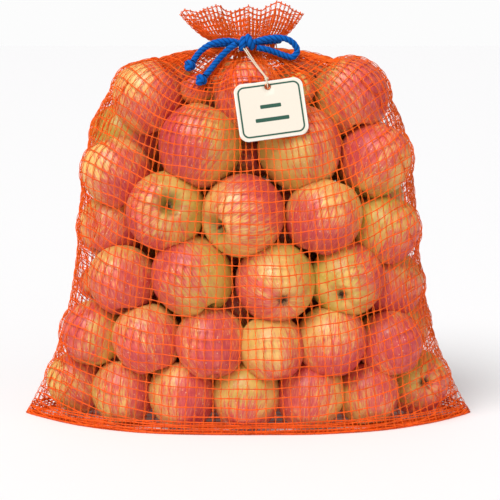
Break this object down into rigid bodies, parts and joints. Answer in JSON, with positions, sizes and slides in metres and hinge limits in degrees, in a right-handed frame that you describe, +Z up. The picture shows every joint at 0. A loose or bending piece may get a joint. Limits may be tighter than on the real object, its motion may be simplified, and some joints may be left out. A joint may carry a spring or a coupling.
{
  "type": "net sack of apples",
  "caption": "Full net sack of apples standing on its base, mouth gathered and tied with a rope bow, with a blank string tag on the front.",
  "frame": {"origin": "middle of the flat base on the floor", "axes": "+Z up, +X to the right as the tag is seen, the tag and the bow on the -Y side"},
  "size_m": [0.452, 0.1962, 0.4118],
  "materials": {
    "net": "knitted orange plastic tape net, slightly shiny",
    "apple_skin": "waxy apple skin, cream yellow with pink red streaks",
    "rope": "twisted blue cord with a soft sheen",
    "string": "thin cream twine",
    "card": "smooth cream card with a green border line",
    "eyelet": "dull copper"
  },
  "bodies": {
    "root": {"net_sack": "net", "neck_turn": "rope", "bow_knot": "rope", "bow_loop": "rope", "upper_tail": "rope", "upper_tail_knot": "rope", "lower_tail": "rope", "lower_tail_knot": "rope", "tag_string": "string", "tag_card": "card", "tag_eyelet": "eyelet"}
  },
  "joints": []
}
